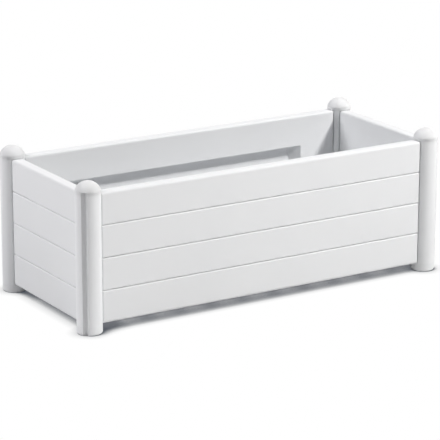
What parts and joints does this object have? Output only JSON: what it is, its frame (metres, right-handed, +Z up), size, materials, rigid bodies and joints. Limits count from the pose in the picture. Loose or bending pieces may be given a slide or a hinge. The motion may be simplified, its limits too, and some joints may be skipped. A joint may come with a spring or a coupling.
{
  "type": "rectangular garden planter",
  "caption": "Long low planter box with plank-look panels slotted into round corner posts with domed caps, and a drained floor.",
  "frame": {"origin": "on the ground, under the middle of the planter", "axes": "+X along the length, to the right seen from the front; +Y from the front to the back; +Z up"},
  "size_m": [1, 0.435, 0.36],
  "materials": {
    "panel_plastic": "satin, fine moulded grain",
    "post_plastic": "satin, smooth",
    "cap_plastic": "satin, smooth",
    "foot_plastic": "satin, smooth",
    "floor_plastic": "matt, as moulded"
  },
  "bodies": {
    "root": {"front_panel": "panel_plastic", "back_panel": "panel_plastic", "left_panel": "panel_plastic", "right_panel": "panel_plastic", "post_front_left": "post_plastic", "post_front_right": "post_plastic", "post_back_left": "post_plastic", "post_back_right": "post_plastic", "cap_front_left": "cap_plastic", "cap_front_right": "cap_plastic", "cap_back_left": "cap_plastic", "cap_back_right": "cap_plastic", "foot_front_left": "foot_plastic", "foot_front_right": "foot_plastic", "foot_back_left": "foot_plastic", "foot_back_right": "foot_plastic", "floor_panel": "floor_plastic"}
  },
  "joints": []
}
